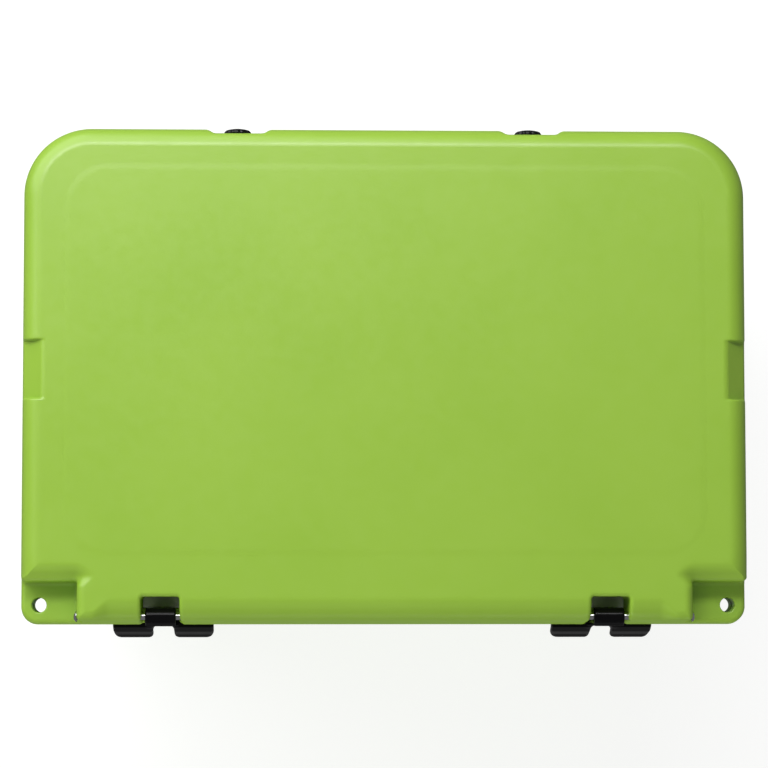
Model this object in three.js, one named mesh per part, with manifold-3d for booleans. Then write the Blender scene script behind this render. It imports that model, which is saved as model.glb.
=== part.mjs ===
// Insulated cooler chest: a rotomoulded double-wall body and lid, two rubber latches, two swinging
// handles, a drain plug and rubber feet. Millimetres, +Z up, the front faces -Y, the origin is on
// the floor under the middle of the chest.
import * as THREE from 'three';
import { mergeVertices } from 'three/addons/utils/BufferGeometryUtils.js';
import Module from 'manifold-3d';

const wasm = await Module();
wasm.setup();

// ---------------------------------------------------------------- driving dimensions
const WALL = 4.5; // moulded skin of body and lid
const LINER_WALL = 3.5;
const GAP = 0.4; // between touching pieces
const BORE_SLACK = 0.3; // on the radius, round a pin, rod or screw
const SEAT = 0.3; // between a piece and the face that it seats on
const FAR = 400; // past the chest's outside on every side, for tools that cut right through

const LID = {
  halfX: 324, front: -219.6, rear: 223.9, bottom: 392, top: 450.4,
  draft: 3, edge: 16, frontEdge: 20, rearEdge: 16, cornerFront: 15, cornerRear: 60,
};
const PANEL = { halfX: 285, front: -160, rear: 189, corner: 40, top: 451 }; // raised field on the lid
const EAR = { innerX: 271.5, rearY: -181, top: 412, holeX: 306.8, holeY: -202.2, holeR: 6.5 };
const NOTCH = { x: 198.4, halfWidth: 17, rearY: -194.7 }; // latch notches in the lid's front
const STRAP = { y: 5.3, halfWidth: 25.8, innerX: 302.5, lowZ: 433 }; // flats for a strap on the side edges
const HINGE = {
  y: 209, z: 407, rodR: 4, lidR: 14.9, knuckleR: 11.5, halfWidth: 19, rodHalf: 275, boreHalf: 320, plugR: 6,
};
const KNOB_NOTCH = { x: 130.5, halfWidth: 24.5, floorY: 216.5 }; // these clear the upper net knobs
const PIN = { y: -212.1, z: 430, r: 3.2, headR: 5.3, inner: 156 }; // latch pins, entering from the lock ears

const RIM = {
  halfX: 322.5, front: -218, rear: 221.5, bottom: 372, top: 390, cornerFront: 14, cornerRear: 58,
};
const TUB = {
  top: { halfX: 314, front: -209.5, rear: 213 }, base: { halfX: 298, front: -196, rear: 199.5 },
  bottom: 8, baseEdge: 14, corner: 70,
};
const CAVITY = {
  top: { halfX: 235, front: -143, rear: 145 }, floor: { halfX: 222, front: -130, rear: 132 },
  floorZ: 78, corner: 40, floorEdge: 12,
};
const TRAY = { halfX: 228, front: -136, rear: 138, bottom: 378, plateTop: 398, corner: 36, taper: 3 };
const GASKET = { halfX: 260, front: -168, rear: 170, width: 10, depth: 3.2, corner: 50 };
const SLOT = { halfWidth: 15.5, rearY: -209.9 }; // latch slots in the body rim

const HANDLE = {
  recessX: 282, y: 4, halfY: 95, bottom: 222, top: 366, corner: 20,
  pivotX: 298, pivotZ: 335, drop: 88, rodR: 4.5, gripR: 12, gripHalf: 60, bushR: 7, bushFlangeR: 10,
};
const DRAIN = {
  y: 4, z: 84, pocketR: 30, pocketX: 280, tubeR: 12, boreR: 10, flangeR: 22, plugR: 19, shankR: 9.5,
  boreFrom: 200,
};
// The dip in the cavity's floor at the drain.
const SUMP = { endX: 223, length: 38, halfY: 24, floorZ: 66, top: 104, corner: 8 };
const KNOB = { x: 132, upperZ: 376, lowerZ: 120, headR: 12.4, neckR: 7, length: 9.8, screwR: 2 };
const FOOT = { x: 238, front: -150, rear: 154, r: 24, height: 7.7, screwR: 2.5 };
const FOAM_PORT = { r: 20, y: 2, lidX: 150 }; // where the foam is poured in, closed by plugs

// ---------------------------------------------------------------- solids
const CORNER_STEPS = 5;
const SIDES = [-1, 1];

// A closed three.js geometry as a manifold-3d solid.
function solid(geometry) {
  const bare = new THREE.BufferGeometry();
  bare.setAttribute('position', geometry.getAttribute('position').clone());
  if (geometry.index) bare.setIndex(geometry.index.clone());
  const merged = mergeVertices(bare, 1e-4);
  return new wasm.Manifold(new wasm.Mesh({
    numProp: 3,
    vertProperties: new Float32Array(merged.attributes.position.array),
    triVerts: new Uint32Array(merged.index.array),
  }));
}

function box(x0, x1, y0, y1, z0, z1) {
  const shape = new THREE.BoxGeometry(x1 - x0, y1 - y0, z1 - z0);
  return solid(shape.translate((x0 + x1) / 2, (y0 + y1) / 2, (z0 + z1) / 2));
}

// A cylinder from one point along an axis, 'x', 'y' or 'z', ending at that coordinate.
function cylinder(axis, from, to, at, r, sides = 16, rEnd = r) {
  const shape = new THREE.CylinderGeometry(rEnd, r, to - from, sides);
  if (axis === 'x') shape.rotateZ(-Math.PI / 2);
  if (axis === 'z') shape.rotateX(Math.PI / 2);
  const middle = (from + to) / 2;
  if (axis === 'x') shape.translate(middle, at[0], at[1]);
  if (axis === 'y') shape.translate(at[0], middle, at[1]);
  if (axis === 'z') shape.translate(at[0], at[1], middle);
  return solid(shape);
}

const union = (...solids) => solids.reduce((a, b) => a.add(b));
const cut = (body, ...tools) => tools.reduce((a, b) => a.subtract(b), body);
const both = (make) => SIDES.map(make); // one on each side of the chest

// A rectangle with rounded corners, anticlockwise, with its own front and rear corner radii.
function outline({ halfX, front, rear, cornerFront, cornerRear }) {
  const corners = [
    [halfX - cornerFront, front + cornerFront, cornerFront, -Math.PI / 2],
    [halfX - cornerRear, rear - cornerRear, cornerRear, 0],
    [-halfX + cornerRear, rear - cornerRear, cornerRear, Math.PI / 2],
    [-halfX + cornerFront, front + cornerFront, cornerFront, Math.PI],
  ];
  return corners.flatMap(([cx, cy, r, start]) =>
    Array.from({ length: CORNER_STEPS + 1 }, (_, i) => {
      const a = start + (i / CORNER_STEPS) * (Math.PI / 2);
      return new THREE.Vector2(cx + r * Math.cos(a), cy + r * Math.sin(a));
    }));
}

// The solid between outlines stacked in Z. Each ring holds the same number of points.
function loft(rings) {
  const n = rings[0].points.length;
  const positions = rings.flatMap(({ z, points }) => points.flatMap((p) => [p.x, p.y, z]));
  const index = [];
  for (let k = 0; k + 1 < rings.length; k += 1) {
    for (let i = 0; i < n; i += 1) {
      const [a, b] = [k * n + i, k * n + ((i + 1) % n)];
      index.push(a, b, b + n, a, b + n, a + n);
    }
  }
  const cap = THREE.ShapeUtils.triangulateShape(rings[0].points, []);
  for (const [a, b, c] of cap) {
    index.push(c, b, a);
    const top = (rings.length - 1) * n;
    index.push(top + a, top + b, top + c);
  }
  const geometry = new THREE.BufferGeometry();
  geometry.setAttribute('position', new THREE.Float32BufferAttribute(positions, 3));
  geometry.setIndex(index);
  return solid(geometry);
}

// A straight-sided block of a rounded rectangle.
function slab(dims, z0, z1) {
  const points = outline(dims);
  return loft([{ z: z0, points }, { z: z1, points }]);
}

// A rounded rectangle's dimensions, drawn in by some distance on every side.
function drawnIn(dims, by, least = 2) {
  return {
    halfX: dims.halfX - by, front: dims.front + by, rear: dims.rear - by,
    cornerFront: Math.max(dims.cornerFront - by, least), cornerRear: Math.max(dims.cornerRear - by, least),
  };
}

// A block with rounded vertical edges.
function roundedBox(x0, x1, y0, y1, z0, z1, r) {
  const half = (x1 - x0) / 2;
  const dims = { halfX: half, front: y0, rear: y1, cornerFront: r, cornerRear: r };
  return slab(dims, z0, z1).translate([(x0 + x1) / 2, 0, 0]);
}

// A flat shape in the YZ plane, extruded along X. Points are [y, z], anticlockwise seen from +X.
function prism(points, x0, x1) {
  const shape = new THREE.Shape(points.map(([y, z]) => new THREE.Vector2(y, z)));
  const geometry = new THREE.ExtrudeGeometry(shape, { depth: x1 - x0, bevelEnabled: false });
  const frame = new THREE.Matrix4().makeBasis(
    new THREE.Vector3(0, 1, 0), new THREE.Vector3(0, 0, 1), new THREE.Vector3(1, 0, 0));
  return solid(geometry.applyMatrix4(frame).translate(x0, 0, 0));
}

// ---------------------------------------------------------------- lid
// The lid's outer form, or with an inset the same form drawn in by that much and open below.
function lidEdge(inset) {
  const floor = inset > 0 ? TRAY.bottom : LID.bottom;
  const ring = (z, side, front, rear) => ({
    z,
    points: outline({
      halfX: LID.halfX - side, front: LID.front + front, rear: LID.rear - rear,
      cornerFront: Math.max(LID.cornerFront - side, 2), cornerRear: LID.cornerRear - side,
    }),
  });
  const rings = [ring(floor, inset, inset, inset)];
  const steps = 3;
  for (let i = 0; i <= steps; i += 1) {
    const a = (i / steps) * (Math.PI / 2);
    const drawn = (radius) => LID.draft + radius - (radius - inset) * Math.cos(a);
    const z = LID.top - LID.edge + (LID.edge - inset) * Math.sin(a);
    rings.push(ring(z, drawn(LID.edge), drawn(LID.frontEdge), drawn(LID.rearEdge)));
  }
  return loft(rings);
}

function lidForm(inset) {
  const high = LID.top + 20;
  const low = TRAY.bottom - 6;
  const far = LID.halfX + 20;
  const ears = both((s) => {
    const x = [s * (EAR.innerX - inset), s * far].sort((a, b) => a - b);
    return roundedBox(x[0], x[1], LID.front - 20, EAR.rearY + inset, EAR.top - inset, high, 8);
  });
  const notches = both((s) => roundedBox(
    s * NOTCH.x - NOTCH.halfWidth - inset, s * NOTCH.x + NOTCH.halfWidth + inset,
    LID.front - 20, NOTCH.rearY + inset, low, high, 3));
  const strapGrooves = both((s) => strapGroove(s, inset));
  const knobNotches = both((s) => box(
    s * KNOB_NOTCH.x - KNOB_NOTCH.halfWidth - inset, s * KNOB_NOTCH.x + KNOB_NOTCH.halfWidth + inset,
    KNOB_NOTCH.floorY - inset, LID.rear + 20, low, high));
  const pocketHalf = HINGE.halfWidth + 3.5 + inset;
  const pocketR = HINGE.knuckleR + 1.2 + inset;
  const pockets = both((s) => union(
    cylinder('x', s * KNOB_NOTCH.x - pocketHalf, s * KNOB_NOTCH.x + pocketHalf, [HINGE.y, HINGE.z], pocketR),
    box(
      s * KNOB_NOTCH.x - pocketHalf, s * KNOB_NOTCH.x + pocketHalf,
      HINGE.y - pocketR, LID.rear + 20, low, HINGE.z)));
  const heel = cut(
    box(-far, far, HINGE.y, LID.rear + 20, low, HINGE.z),
    cylinder('x', -far - 1, far + 1, [HINGE.y, HINGE.z], HINGE.lidR - inset));
  const panelPlan = { ...PANEL, cornerFront: PANEL.corner, cornerRear: PANEL.corner };
  const panel = slab(panelPlan, LID.top - 5, PANEL.top);
  const block = inset > 0 ? lidEdge(inset) : union(lidEdge(0), panel);
  return cut(block, ...ears, ...notches, ...strapGrooves, ...knobNotches, ...pockets, heel);
}

// What a strap's flat takes off the rounded side edge: all outside a slope from the top to the side.
function strapGroove(s, inset) {
  const sideX = LID.halfX - LID.draft;
  const slope = Math.atan2(LID.top - STRAP.lowZ, sideX - STRAP.innerX);
  const half = STRAP.halfWidth + inset;
  return box(-FAR / 8, FAR / 8, -half, half, -inset, FAR / 8)
    .rotate([0, s * THREE.MathUtils.radToDeg(slope), 0])
    .translate([s * STRAP.innerX, STRAP.y, LID.top]);
}

function slice(form, z0, z1, rear = FAR) {
  return form.intersect(box(-FAR, FAR, -FAR, rear, z0, z1));
}

const UNDER_TRAY = TRAY.bottom - 8;
const lockHole = (s, r, z0, z1) => cylinder('z', z0, z1, [s * EAR.holeX, EAR.holeY], r, 16);
const hingeBore = (r) => cylinder('x', -HINGE.boreHalf, HINGE.boreHalf, [HINGE.y, HINGE.z], r, 16);
const plugBore = (s, r) => {
  const x = [s * (HINGE.rodHalf + 2), s * HINGE.boreHalf].sort((a, b) => a - b);
  return cylinder('x', x[0], x[1], [HINGE.y, HINGE.z], r, 16);
};
const pinBore = (s, r) => {
  const x = [s * (PIN.inner - 1), s * (EAR.innerX + 6)].sort((a, b) => a - b);
  return cylinder('x', x[0], x[1], [PIN.y, PIN.z], r, 16);
};
const lidBores = (slack) => [
  ...both((s) => lockHole(s, EAR.holeR + slack, LID.bottom - 20, LID.top)),
  ...both((s) => pinBore(s, PIN.r + BORE_SLACK + slack)),
  hingeBore(HINGE.rodR + BORE_SLACK + slack),
  ...both((s) => plugBore(s, HINGE.plugR + BORE_SLACK + slack)),
];

function lidShell() {
  const hollow = cut(lidForm(WALL), ...both((s) => lockHole(s, EAR.holeR + WALL, UNDER_TRAY, LID.top)));
  return cut(lidForm(0), hollow, ...lidBores(0));
}

function trayForm(inset, top) {
  const dims = { ...TRAY, cornerFront: TRAY.corner, cornerRear: TRAY.corner };
  return loft([
    { z: TRAY.bottom + inset, points: outline(drawnIn(dims, inset + TRAY.taper)) },
    { z: top, points: outline(drawnIn(dims, inset)) },
  ]);
}

function gasketRing(slack, z0, z1) {
  const dims = { ...GASKET, cornerFront: GASKET.corner, cornerRear: GASKET.corner };
  return cut(
    slab(drawnIn(dims, -slack), z0, z1),
    slab(drawnIn(dims, GASKET.width + slack), z0 - 1, z1 + 1));
}

const LID_PLATE_REAR = HINGE.y - HINGE.lidR; // the lid liner stops in front of the hinge pockets
const LID_PLATE_BOTTOM = LID.bottom + 0.2;

function lidLiner() {
  const plate = slice(lidForm(WALL + GAP), LID_PLATE_BOTTOM, TRAY.plateTop, LID_PLATE_REAR);
  const tray = trayForm(0, TRAY.plateTop);
  const hollow = trayForm(LINER_WALL, TRAY.plateTop + 1);
  const lockTubes = both((s) => lockHole(s, EAR.holeR + WALL + GAP, UNDER_TRAY, LID.top));
  const groove = gasketRing(SEAT, LID_PLATE_BOTTOM - 1, LID_PLATE_BOTTOM + GASKET.depth);
  const ports = both((s) => cylinder(
    'z', UNDER_TRAY, TRAY.plateTop + 2, [s * FOAM_PORT.lidX, FOAM_PORT.y], FOAM_PORT.r + GAP, 16));
  return cut(union(plate, tray), hollow, ...lockTubes, groove, ...ports);
}

function lidFoam() {
  const upper = slice(lidForm(WALL + 2 * GAP), TRAY.plateTop + GAP, LID.top);
  const lower = trayForm(LINER_WALL + GAP, TRAY.plateTop + 2);
  const lockTubes = both((s) => lockHole(s, EAR.holeR + 2 * WALL, UNDER_TRAY, LID.top));
  const hingeSpace = box(-LID.halfX, LID.halfX, LID_PLATE_REAR, LID.rear, LID.bottom, HINGE.z + HINGE.lidR);
  return cut(union(upper, lower), ...lockTubes, ...lidBores(BORE_SLACK), hingeSpace);
}

function lidGasket() {
  return gasketRing(0, RIM.top + SEAT, LID_PLATE_BOTTOM + GASKET.depth - SEAT);
}

function hingeRod() {
  return cylinder('x', -HINGE.rodHalf, HINGE.rodHalf, [HINGE.y, HINGE.z], HINGE.rodR, 16);
}

function hingeRodPlug(s) {
  const x = [s * (HINGE.rodHalf + 3), s * (HINGE.rodHalf + 19)].sort((a, b) => a - b);
  return cylinder('x', x[0], x[1], [HINGE.y, HINGE.z], HINGE.plugR, 16);
}

// A latch pin: a plain rod with a round head against the lock ear's inner wall.
function latchPin(s) {
  const rodX = [s * PIN.inner, s * (EAR.innerX + 1)].sort((a, b) => a - b);
  const headX = [s * (EAR.innerX + SEAT), s * (EAR.innerX + SEAT + 3.5)].sort((a, b) => a - b);
  return union(
    cylinder('x', rodX[0], rodX[1], [PIN.y, PIN.z], PIN.r, 16),
    cylinder('x', headX[0], headX[1], [PIN.y, PIN.z], PIN.headR, 16));
}

// ---------------------------------------------------------------- latch
// One rubber moulding: an eye round the pin, a stem down the front and two finger lobes.
const LATCH = {
  eyeR: 7.5, stemHalf: 13.5, front: -220.5, back: -211.5, low: 352, tip: -232,
  lobeInner: 9.5, lobeOuter: 45.3,
};

function latch(s) {
  const x = s * NOTCH.x;
  const stem = prism(
    [[LATCH.front, PIN.z], [LATCH.front, LATCH.low], [LATCH.back, LATCH.low], [LATCH.back, PIN.z]],
    x - LATCH.stemHalf, x + LATCH.stemHalf);
  const eye = cylinder('x', x - LATCH.stemHalf, x + LATCH.stemHalf, [PIN.y, PIN.z], LATCH.eyeR, 16);
  const bridge = prism(
    [[LATCH.front, PIN.z + 1], [LATCH.front, PIN.z - 14], [PIN.y + 4, PIN.z - 14], [PIN.y + 4, PIN.z + 1]],
    x - LATCH.stemHalf, x + LATCH.stemHalf);
  const hookTop = RIM.bottom - 1;
  const lobeSection = [
    [LATCH.back + 0.5, hookTop], [-222.5, hookTop], [-226.5, 362], [-229, 352], [LATCH.tip, 346],
    [-230, 342.5], [-226, 346], [-222, 355], [-217.5, 359.5], [LATCH.back + 0.5, 361],
  ];
  const lobes = both((side) => {
    const span = [side * LATCH.lobeInner, side * LATCH.lobeOuter].sort((a, b) => a - b);
    return prism(lobeSection, x + span[0], x + span[1]);
  });
  const boreR = PIN.r + BORE_SLACK;
  const bore = cylinder('x', x - NOTCH.halfWidth, x + NOTCH.halfWidth, [PIN.y, PIN.z], boreR, 16);
  return cut(union(stem, eye, bridge, ...lobes), bore);
}

// ---------------------------------------------------------------- body
function tubForm(inset) {
  const { top, base, baseEdge } = TUB;
  const mix = (a, b, t) => a + (b - a) * t;
  const ring = (z, drawn) => {
    const t = Math.min(Math.max((z - TUB.bottom) / (RIM.bottom - TUB.bottom), 0), 1);
    const dims = {
      halfX: mix(base.halfX, top.halfX, t), front: mix(base.front, top.front, t),
      rear: mix(base.rear, top.rear, t), cornerFront: TUB.corner, cornerRear: TUB.corner,
    };
    return { z, points: outline(drawnIn(dims, drawn)) };
  };
  const rings = [];
  const steps = 2;
  for (let i = 0; i <= steps; i += 1) {
    const a = (i / steps) * (Math.PI / 2);
    const radius = baseEdge - inset;
    rings.push(ring(TUB.bottom + baseEdge - radius * Math.cos(a), baseEdge - radius * Math.sin(a)));
  }
  rings.push(ring(RIM.bottom, inset), ring(inset > 0 ? RIM.top + 10 : RIM.top, inset));
  return cut(loft(rings), ...handleRecesses(inset), drainPocket(inset));
}

function handleRecesses(inset) {
  return both((s) => {
    const half = HANDLE.halfY + inset;
    const dims = {
      halfX: half, front: HANDLE.bottom - inset, rear: HANDLE.top + inset,
      cornerFront: HANDLE.corner + inset, cornerRear: HANDLE.corner + inset,
    };
    const depth = 60;
    // Drawn as (y, z) and swung so that the slab's height runs along X.
    const blank = slab(dims, 0, depth).transform(
      new THREE.Matrix4().makeBasis(
        new THREE.Vector3(0, 1, 0), new THREE.Vector3(0, 0, 1), new THREE.Vector3(1, 0, 0)).toArray());
    const x = s > 0 ? HANDLE.recessX - inset : -HANDLE.recessX + inset - depth;
    return blank.translate([x, HANDLE.y, 0]);
  });
}

function drainPocket(inset) {
  return cylinder('x', DRAIN.pocketX - inset, FAR, [DRAIN.y, DRAIN.z], DRAIN.pocketR + inset, 20);
}

const drainBore = (r) => cylinder('x', DRAIN.boreFrom, FAR, [DRAIN.y, DRAIN.z], r, 16);

// Sockets for the handle bushes, in the recess's front and rear walls.
function bushSockets(r, length) {
  return both((s) => union(...SIDES.map((end) => {
    const face = HANDLE.y + end * HANDLE.halfY;
    const y = [face - end, face + end * length].sort((a, b) => a - b);
    return cylinder('y', y[0], y[1], [s * HANDLE.pivotX, HANDLE.pivotZ], r, 16);
  })));
}

const KNOB_PLACES = SIDES.flatMap((s) => [[s, KNOB.upperZ], [s, KNOB.lowerZ]]);
const rearWallY = (z) => {
  const t = (z - TUB.bottom) / (RIM.bottom - TUB.bottom);
  return TUB.base.rear + (TUB.top.rear - TUB.base.rear) * t;
};
const lowerPadY = rearWallY(KNOB.lowerZ) + 4;
const knobFaceY = (z) => (z === KNOB.upperZ ? RIM.rear : lowerPadY);

function knobScrewHoles(r) {
  return KNOB_PLACES.map(([s, z]) => cylinder(
    'y', knobFaceY(z) - 24, knobFaceY(z) + 1, [s * KNOB.x, z], r, 8));
}

const FEET = SIDES.flatMap((s) => [[s * FOOT.x, FOOT.front], [s * FOOT.x, FOOT.rear]]);
const footHoles = (r) => FEET.map(([x, y]) => cylinder('z', 0, 24, [x, y], r, 8));

function hingeKnuckle(s) {
  const x0 = s * KNOB_NOTCH.x - HINGE.halfWidth;
  const x1 = s * KNOB_NOTCH.x + HINGE.halfWidth;
  const pad = roundedBox(x0, x1, HINGE.y - 5, RIM.rear, 346, RIM.top - 2, 3);
  return union(
    cylinder('x', x0, x1, [HINGE.y, HINGE.z], HINGE.knuckleR),
    box(x0, x1, HINGE.y - 6, HINGE.y + 6, RIM.top - 6, HINGE.z), pad);
}

function bodyShell() {
  const rim = slab(RIM, RIM.bottom, RIM.top);
  const lowerPads = both((s) => cylinder(
    'y', rearWallY(KNOB.lowerZ) - 5, lowerPadY, [s * KNOB.x, KNOB.lowerZ], 20, 16, 16));
  const solidForm = union(tubForm(0), rim, ...both(hingeKnuckle), ...lowerPads);
  const slots = both((s) => box(
    s * NOTCH.x - SLOT.halfWidth, s * NOTCH.x + SLOT.halfWidth, -FAR, SLOT.rearY, RIM.bottom - 22, FAR));
  return cut(
    solidForm, tubForm(WALL), ...slots,
    ...both((s) => lockHole(s, EAR.holeR, RIM.bottom - 12, FAR)),
    ...both((s) => cylinder(
      'x', s * KNOB_NOTCH.x - 30, s * KNOB_NOTCH.x + 30, [HINGE.y, HINGE.z], HINGE.rodR + BORE_SLACK)),
    ...bushSockets(HANDLE.bushR + BORE_SLACK, WALL + 1), drainBore(DRAIN.tubeR + GAP),
    ...knobScrewHoles(KNOB.screwR + BORE_SLACK), ...footHoles(FOOT.screwR + BORE_SLACK),
    cylinder('z', 0, 30, [0, FOAM_PORT.y], FOAM_PORT.r + 0.4, 24));
}

const LEDGE = 4; // thickness of the liner's ledge on the body

function cavityForm(outset, top) {
  const floor = { ...CAVITY.floor, cornerFront: CAVITY.corner - 4, cornerRear: CAVITY.corner - 4 };
  const mouth = { ...CAVITY.top, cornerFront: CAVITY.corner, cornerRear: CAVITY.corner };
  const radius = CAVITY.floorEdge;
  const rings = [];
  const steps = 2;
  for (let i = 0; i <= steps; i += 1) {
    const a = (i / steps) * (Math.PI / 2);
    const z = CAVITY.floorZ - outset + (radius + outset) * (1 - Math.cos(a));
    rings.push({ z, points: outline(drawnIn(floor, radius - (radius + outset) * Math.sin(a))) });
  }
  rings.push({ z: top, points: outline(drawnIn(mouth, -outset)) });
  const sump = roundedBox(
    SUMP.endX - SUMP.length - outset, SUMP.endX + outset, DRAIN.y - SUMP.halfY - outset,
    DRAIN.y + SUMP.halfY + outset, SUMP.floorZ - outset, SUMP.top + outset, SUMP.corner + outset);
  return union(loft(rings), sump);
}

function bodyLiner() {
  const ledge = {
    halfX: TUB.top.halfX - WALL - GAP, front: TUB.top.front + WALL + GAP, rear: TUB.top.rear - WALL - GAP,
    cornerFront: TUB.corner - WALL, cornerRear: TUB.corner - WALL,
  };
  const ledgePlate = slab(ledge, RIM.top - LEDGE, RIM.top);
  const walls = cavityForm(LINER_WALL, RIM.top);
  return cut(union(walls, ledgePlate), cavityForm(0, RIM.top + 0.01), drainBore(DRAIN.tubeR + GAP));
}

function bodyFoam() {
  const block = tubForm(WALL + GAP).intersect(box(-FAR, FAR, -FAR, FAR, 0, RIM.top - LEDGE - GAP));
  return cut(
    block, cavityForm(LINER_WALL + GAP, RIM.top + 5), drainBore(DRAIN.tubeR + 0.8),
    ...bushSockets(HANDLE.bushR + 1, 20), ...knobScrewHoles(KNOB.screwR + 1), ...footHoles(FOOT.screwR + 1),
    cylinder('z', 0, 14, [0, FOAM_PORT.y], FOAM_PORT.r + 1, 24));
}

// ---------------------------------------------------------------- handles
const ROD_SECTION_SIDES = 8;

// The bail's centre line: from the front bush down an arm, along the grip and up to the rear bush.
function bailPoints(s) {
  const at = (y, z) => new THREE.Vector3(s * HANDLE.pivotX, HANDLE.y + y, z);
  const bend = 12;
  const end = HANDLE.halfY + 10;
  const arm = HANDLE.halfY - 16;
  const low = HANDLE.pivotZ - HANDLE.drop;
  const round = (...corner) => new THREE.QuadraticBezierCurve3(...corner).getPoints(3);
  const half = (side) => [
    at(side * end, HANDLE.pivotZ),
    ...round(
      at(side * (arm + bend), HANDLE.pivotZ), at(side * arm, HANDLE.pivotZ),
      at(side * arm, HANDLE.pivotZ - bend)),
    ...round(at(side * arm, low + bend), at(side * arm, low), at(side * (arm - bend), low)),
  ];
  return [...half(-1), ...half(1).reverse()];
}

// A round rod along points that lie in a plane of constant X.
function rod(points, r) {
  const across = new THREE.Vector3(1, 0, 0);
  const rings = points.map((p, i) => {
    const before = points[Math.max(i - 1, 0)];
    const after = points[Math.min(i + 1, points.length - 1)];
    const along = after.clone().sub(before).normalize();
    const normal = new THREE.Vector3().crossVectors(along, across);
    return Array.from({ length: ROD_SECTION_SIDES }, (_, k) => {
      const a = (k / ROD_SECTION_SIDES) * 2 * Math.PI;
      return p.clone().addScaledVector(across, r * Math.cos(a)).addScaledVector(normal, r * Math.sin(a));
    });
  });
  const n = ROD_SECTION_SIDES;
  const index = [];
  for (let k = 0; k + 1 < rings.length; k += 1) {
    for (let i = 0; i < n; i += 1) {
      const [a, b] = [k * n + i, k * n + ((i + 1) % n)];
      index.push(a, b, b + n, a, b + n, a + n);
    }
  }
  const last = (rings.length - 1) * n;
  for (let i = 1; i + 1 < n; i += 1) {
    index.push(0, i + 1, i);
    index.push(last, last + i, last + i + 1);
  }
  const geometry = new THREE.BufferGeometry();
  const coordinates = rings.flat().flatMap((p) => p.toArray());
  geometry.setAttribute('position', new THREE.Float32BufferAttribute(coordinates, 3));
  geometry.setIndex(index);
  return solid(geometry);
}

function handleGrip(s) {
  const at = [s * HANDLE.pivotX, HANDLE.pivotZ - HANDLE.drop];
  const [y0, y1] = [HANDLE.y - HANDLE.gripHalf, HANDLE.y + HANDLE.gripHalf];
  return cut(
    cylinder('y', y0, y1, at, HANDLE.gripR, 16),
    cylinder('y', y0 - 1, y1 + 1, at, HANDLE.rodR + BORE_SLACK, ROD_SECTION_SIDES * 2));
}

// A flanged nylon bush in the recess wall. end is -1 at the front and 1 at the rear.
function handleBush(s, end) {
  const face = HANDLE.y + end * HANDLE.halfY;
  const at = [s * HANDLE.pivotX, HANDLE.pivotZ];
  const span = (from, to) => [face + end * from, face + end * to].sort((a, b) => a - b);
  return cut(
    union(
      cylinder('y', ...span(-2.4, -SEAT), at, HANDLE.bushFlangeR, 16),
      cylinder('y', ...span(-1, 13), at, HANDLE.bushR, 16)),
    cylinder('y', ...span(-4, 20), at, HANDLE.rodR + BORE_SLACK, 16));
}

// ---------------------------------------------------------------- drain
const drainAt = [DRAIN.y, DRAIN.z];
const drainTube = (from, to, r, sides = 16) => cylinder('x', from, to, drainAt, r, sides);
const drainHole = (r) => drainTube(DRAIN.boreFrom, FAR, r);
const DRAIN_FLANGE_X = DRAIN.pocketX + 2.2;
const PLUG_X = DRAIN_FLANGE_X + 6; // the outer face of the drain fitting

function drainFitting() {
  return cut(
    union(drainTube(SUMP.endX - 3, SUMP.endX - SEAT, 15), drainTube(SUMP.endX - 1, PLUG_X, DRAIN.tubeR)),
    drainHole(DRAIN.boreR));
}

function drainLockNut() {
  return cut(drainTube(DRAIN_FLANGE_X, PLUG_X - 0.5, DRAIN.flangeR, 6), drainHole(DRAIN.tubeR + BORE_SLACK));
}

function drainGasket() {
  return cut(drainTube(DRAIN.pocketX + SEAT, DRAIN_FLANGE_X - SEAT, 20), drainHole(DRAIN.tubeR + 0.5));
}

function drainPlugSeal() {
  return cut(drainTube(PLUG_X + SEAT, PLUG_X + SEAT + 2, 14), drainHole(DRAIN.shankR + BORE_SLACK));
}

function drainPlug() {
  const wings = Array.from({ length: 6 }, (_, i) => {
    const a = (i / 6) * 2 * Math.PI;
    return cylinder('x', PLUG_X + 4, PLUG_X + 20,
      [DRAIN.y + (DRAIN.plugR + 2.5) * Math.cos(a), DRAIN.z + (DRAIN.plugR + 2.5) * Math.sin(a)], 5, 8);
  });
  const head = cut(drainTube(PLUG_X + 2.6, PLUG_X + 13, DRAIN.plugR, 24), ...wings);
  return union(head, drainTube(PLUG_X - 30, PLUG_X + 3, DRAIN.shankR));
}

// ---------------------------------------------------------------- knobs, feet and fasteners
// A knob for the cargo net: a neck and a domed head, with a counterbored screw hole.
function netKnob(s, z) {
  const face = knobFaceY(z);
  const at = [s * KNOB.x, z];
  const tip = face + KNOB.length;
  return cut(
    union(
      cylinder('y', face + SEAT, tip - 5, at, KNOB.neckR, 16),
      cylinder('y', tip - 6, tip - 3.5, at, KNOB.headR, 16),
      cylinder('y', tip - 3.6, tip, at, KNOB.headR, 16, KNOB.headR - 5)),
    cylinder('y', face - 1, tip + 1, at, KNOB.screwR + BORE_SLACK, 8),
    cylinder('y', tip - 3, tip + 1, at, 4.4, 8));
}

function netKnobScrew(s, z) {
  const face = knobFaceY(z);
  const tip = face + KNOB.length;
  const at = [s * KNOB.x, z];
  return union(
    cylinder('y', face - 20, tip - 2, at, KNOB.screwR, 8),
    cylinder('y', tip - 2.7, tip - 0.6, at, 4, 8));
}

function foot(x, y) {
  return cut(
    cylinder('z', 0, FOOT.height, [x, y], FOOT.r - 3, 16, FOOT.r),
    cylinder('z', -1, FOOT.height + 1, [x, y], FOOT.screwR + BORE_SLACK, 8),
    cylinder('z', -1, 4.3, [x, y], 6.5, 16));
}

function footScrew(x, y) {
  return union(cylinder('z', 3, 20, [x, y], FOOT.screwR, 8), cylinder('z', 1.8, 4, [x, y], 6, 8));
}

const foamPlug = (x, z, thickness) => cylinder(
  'z', z + 0.2, z + thickness - 0.2, [x, FOAM_PORT.y], FOAM_PORT.r, 16);

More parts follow.
